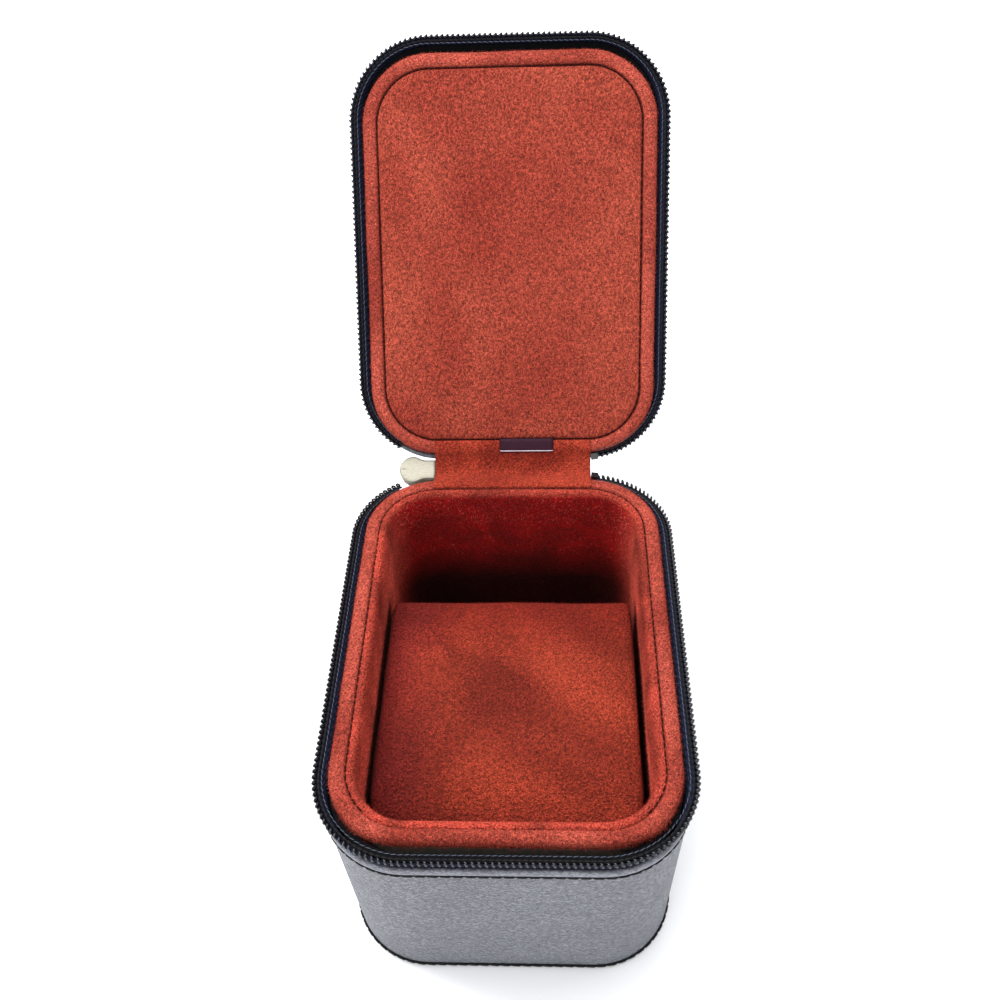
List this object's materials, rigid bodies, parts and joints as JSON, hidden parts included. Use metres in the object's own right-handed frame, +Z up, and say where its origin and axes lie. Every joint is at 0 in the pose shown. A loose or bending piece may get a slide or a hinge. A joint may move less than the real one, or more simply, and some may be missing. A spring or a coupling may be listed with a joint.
{
  "type": "watch travel case",
  "caption": "Zipped leather travel case for a watch: deep rounded box with a suede-lined well, a lift-out watch cushion, a strap-hinged padded lid and a zip slider with a pull.",
  "frame": {"origin": "centre of the box's flat underside", "axes": "+X to the right of the open case, +Y to the back, where the lid is hinged, +Z up"},
  "size_m": [0.086, 0.1964, 0.1611],
  "materials": {
    "leather_black": "satin",
    "grey_board": "matte",
    "red_suede": "matte",
    "foam": "matte",
    "zip_tape": "matte",
    "zip_nylon": "satin",
    "zip_metal": "satin",
    "plum_leather": "satin"
  },
  "bodies": {
    "case_body": {"base_cover": "leather_black", "base_board": "grey_board", "side_leather": "leather_black", "side_board": "grey_board", "edge_binding": "leather_black", "zip_tape_lower": "zip_tape", "zip_coil_lower": "zip_nylon", "zip_stop_lower": "zip_metal", "well_board": "grey_board", "well_liner": "red_suede", "well_floor_board": "grey_board", "well_floor": "red_suede", "rim_pad": "red_suede", "flap_tail_lower": "red_suede"},
    "hinge_strap": {"hinge_leather": "leather_black", "hinge_flap": "red_suede"},
    "lid": {"lid_cover": "leather_black", "lid_board": "grey_board", "lid_side_leather": "leather_black", "lid_side_board": "grey_board", "lid_edge_binding": "leather_black", "zip_tape_upper": "zip_tape", "zip_coil_upper": "zip_nylon", "zip_stop_upper": "zip_metal", "lid_foam": "foam", "lid_pad_board": "grey_board", "lid_rim_pad": "red_suede", "lid_pad": "red_suede", "flap_tail_upper": "red_suede"},
    "lid_tab_body": {"lid_tab": "plum_leather"},
    "cushion": {"cushion_core": "foam", "cushion_wrap": "red_suede", "cushion_end_left": "red_suede", "cushion_end_right": "red_suede"},
    "slider_body": {"zip_slider": "zip_metal"},
    "pull_body": {"zip_pull": "zip_metal"}
  },
  "joints": [
    {"name": "lid_fold", "type": "hinge", "parent": "hinge_strap", "child": "lid", "pos_m": [0, 0.06207, 0.06786], "axis": [-1, 0, 0], "range_deg": [-63, 0]},
    {"name": "strap_fold", "type": "hinge", "parent": "case_body", "child": "hinge_strap", "pos_m": [0, 0.0545, 0.064], "axis": [-1, 0, 0], "range_deg": [-63, 0]},
    {"name": "cushion_lift", "type": "slide", "parent": "case_body", "child": "cushion", "axis": [0, 0, 1], "range_m": [0, 0.065]},
    {"name": "slider_run", "type": "slide", "parent": "hinge_strap", "child": "slider_body", "axis": [-1, 0, 0], "range_m": [0, 0.003]},
    {"name": "pull_swing", "type": "hinge", "parent": "slider_body", "child": "pull_body", "pos_m": [-0.02715, 0.06042, 0.06174], "axis": [0, 0.891, 0.454], "range_deg": [-75, 75]},
    {"name": "lid_tab_flip", "type": "hinge", "parent": "lid", "child": "lid_tab_body", "pos_m": [0, 0.06171, 0.07442], "axis": [-1, 0, 0], "range_deg": [0, 60]}
  ],
  "couplings": [
    {"joint": "strap_fold", "follows": "lid_fold", "ratio": 1}
  ]
}
